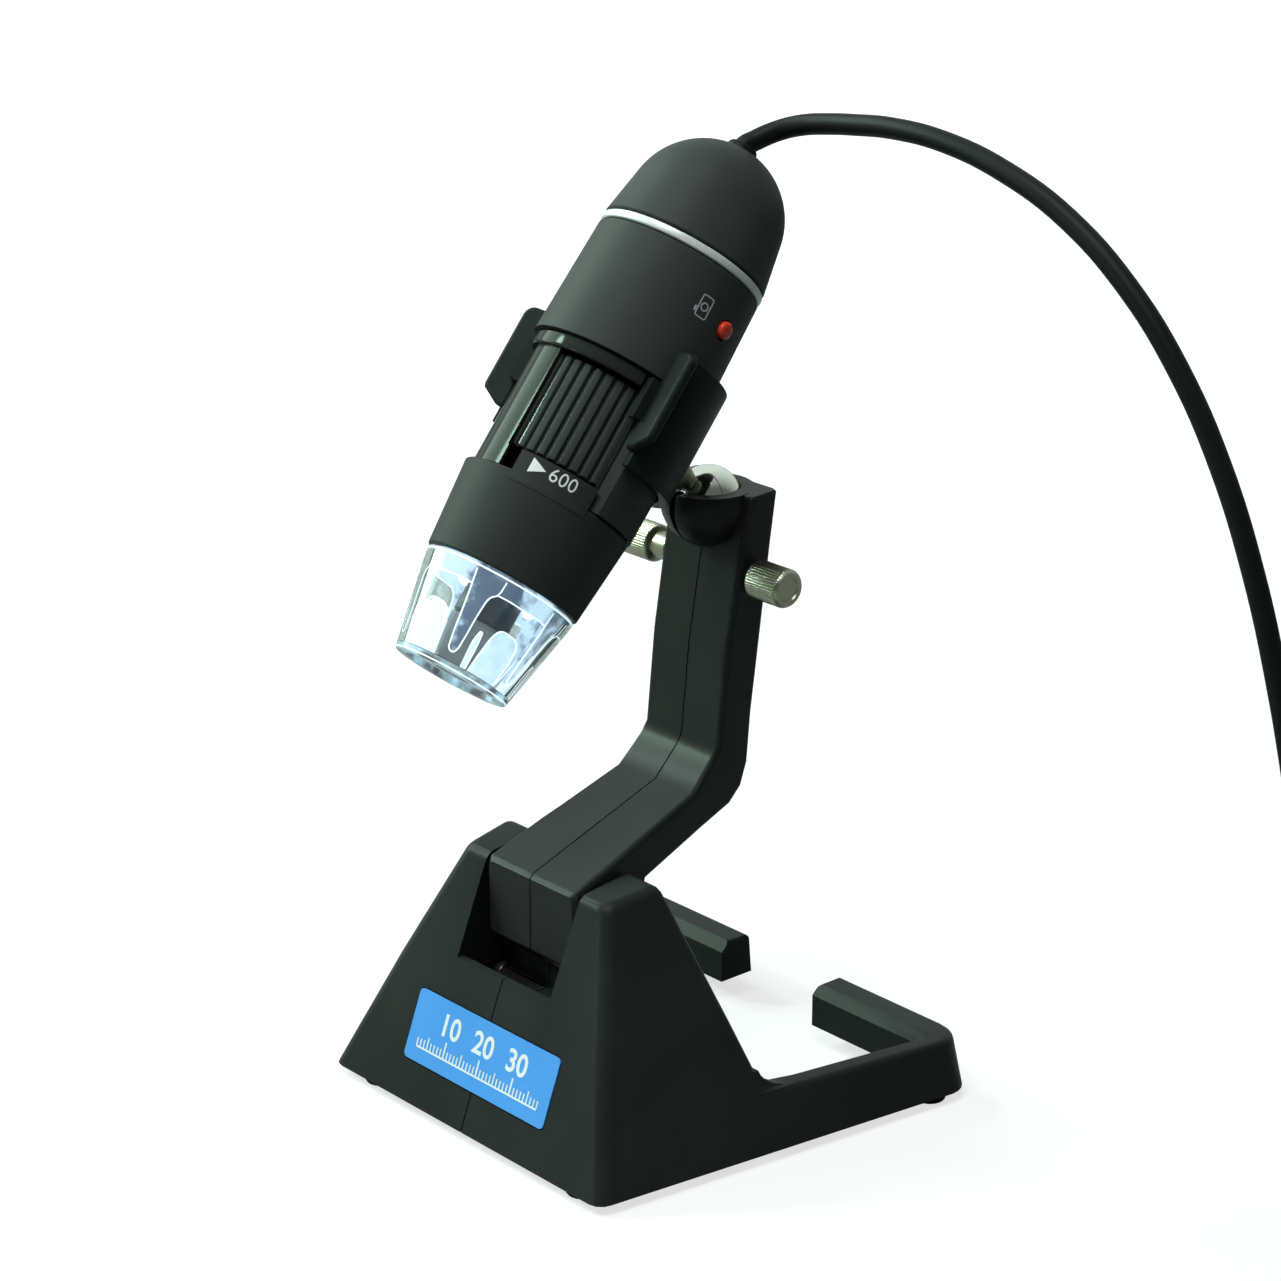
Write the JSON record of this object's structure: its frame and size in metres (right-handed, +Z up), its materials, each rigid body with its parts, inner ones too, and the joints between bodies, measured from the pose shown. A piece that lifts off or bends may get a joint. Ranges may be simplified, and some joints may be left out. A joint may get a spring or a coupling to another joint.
{
  "type": "usb digital microscope",
  "caption": "Black handheld digital microscope with a clear lit tip and a cord, held in a clip on a ball joint over a folding arm and a splayed desk stand.",
  "frame": {"origin": "middle of the floor under the object, measured without its cord", "axes": "+X towards the stand's right side, +Y towards the rear beams, +Z up; the label faces -Y"},
  "size_m": [0.2877, 0.0992, 0.1903],
  "materials": {
    "stand_plastic": "fine satin black moulded plastic",
    "tube_plastic": "soft-touch black plastic",
    "gloss_plastic": "glossy black plastic",
    "steel": "plain zinc-plated steel",
    "ball_chrome": "polished steel",
    "nickel": "knurled nickel-plated steel",
    "silver_trim": "silver-coated plastic",
    "label_blue": "blue printed plate",
    "foot_rubber": "matt black rubber",
    "clear_plastic": "clear polished plastic",
    "lens_glass": "coated glass",
    "lamp_white": "white lamp",
    "button_red": "glossy red plastic",
    "board_green": "green circuit board",
    "chip_black": "black moulded plastic",
    "cord_black": "flexible black sheath",
    "plug_metal": "bright plug shell"
  },
  "bodies": {
    "base": {"base_right_half": "stand_plastic", "base_left_half": "stand_plastic", "label_plate": "label_blue", "base_screw_front": "steel", "base_screw_rear": "steel", "base_screw_upper": "steel", "foot_front_right": "foot_rubber", "foot_front_left": "foot_rubber", "foot_rear_right": "foot_rubber", "foot_rear_left": "foot_rubber", "hinge_pin": "steel"},
    "arm": {"arm_right_half": "stand_plastic", "arm_left_half": "stand_plastic", "arm_screw_lower": "steel", "arm_screw_upper": "steel"},
    "right_knob": {"right_thumb_screw": "nickel"},
    "left_knob": {"left_thumb_nut": "nickel"},
    "ball": {"steel_ball": "ball_chrome"},
    "stud": {"ball_stud": "ball_chrome"},
    "clip": {"clip": "stand_plastic"},
    "scope": {"dome_cap": "tube_plastic", "silver_ring": "silver_trim", "upper_housing": "tube_plastic", "inner_sleeve": "gloss_plastic", "lower_housing": "tube_plastic", "clear_tip": "clear_plastic", "sensor_board": "board_green", "image_sensor": "chip_black", "main_board": "board_green", "controller_chip": "chip_black", "snap_switch": "chip_black", "led_board": "board_green", "led_1": "lamp_white", "led_2": "lamp_white", "led_3": "lamp_white", "led_4": "lamp_white", "led_5": "lamp_white", "led_6": "lamp_white", "led_7": "lamp_white", "led_8": "lamp_white", "cord_grommet": "cord_black", "cord_run": "cord_black", "cord_coil": "cord_black", "plug_grip": "cord_black", "plug_shell": "plug_metal"},
    "focus": {"focus_wheel": "gloss_plastic"},
    "lens": {"lens_carrier": "chip_black", "rear_lens": "lens_glass", "objective_lens": "lens_glass"},
    "button": {"snap_button": "button_red"}
  },
  "joints": [
    {"name": "arm_fold", "type": "hinge", "parent": "base", "child": "arm", "pos_m": [0, -0.01391, 0.0423], "axis": [1, 0, 0], "range_deg": [-20, 40]},
    {"name": "right_knob_turn", "type": "hinge", "parent": "arm", "child": "right_knob", "pos_m": [0.0123, 0.02479, 0.1018], "axis": [1, 0, 0], "range_deg": [-180, 180]},
    {"name": "left_knob_turn", "type": "hinge", "parent": "arm", "child": "left_knob", "pos_m": [-0.0158, 0.02479, 0.1018], "axis": [1, 0, 0], "range_deg": [-180, 180]},
    {"name": "ball_pan", "type": "hinge", "parent": "arm", "child": "ball", "pos_m": [0, 0.02319, 0.1152], "axis": [0, 0, 1], "range_deg": [-50, 50]},
    {"name": "ball_tilt", "type": "hinge", "parent": "ball", "child": "stud", "pos_m": [0, 0.02319, 0.1152], "axis": [1, 0, 0], "range_deg": [-40, 0]},
    {"name": "ball_roll", "type": "hinge", "parent": "stud", "child": "clip", "pos_m": [0, 0.02319, 0.1152], "axis": [0, -0.7743, 0.6328], "range_deg": [-60, 60]},
    {"name": "tube_slide", "type": "slide", "parent": "clip", "child": "scope", "axis": [0, 0.6328, 0.7743], "range_m": [0, 0.013]},
    {"name": "focus_turn", "type": "hinge", "parent": "scope", "child": "focus", "pos_m": [0, -0.00757, 0.13375], "axis": [0, 0.6328, 0.7743], "range_deg": [-150, 150]},
    {"name": "lens_travel", "type": "slide", "parent": "scope", "child": "lens", "axis": [0, 0.6328, 0.7743], "range_m": [-0.0031, 0.0031]},
    {"name": "snap_press", "type": "slide", "parent": "scope", "child": "button", "axis": [-0.9903, -0.1078, 0.0881], "range_m": [0, 0.0006], "stiffness_N_per_m": 600}
  ],
  "couplings": [
    {"joint": "lens_travel", "follows": "focus_turn", "m_per_rad": 0.001146}
  ]
}
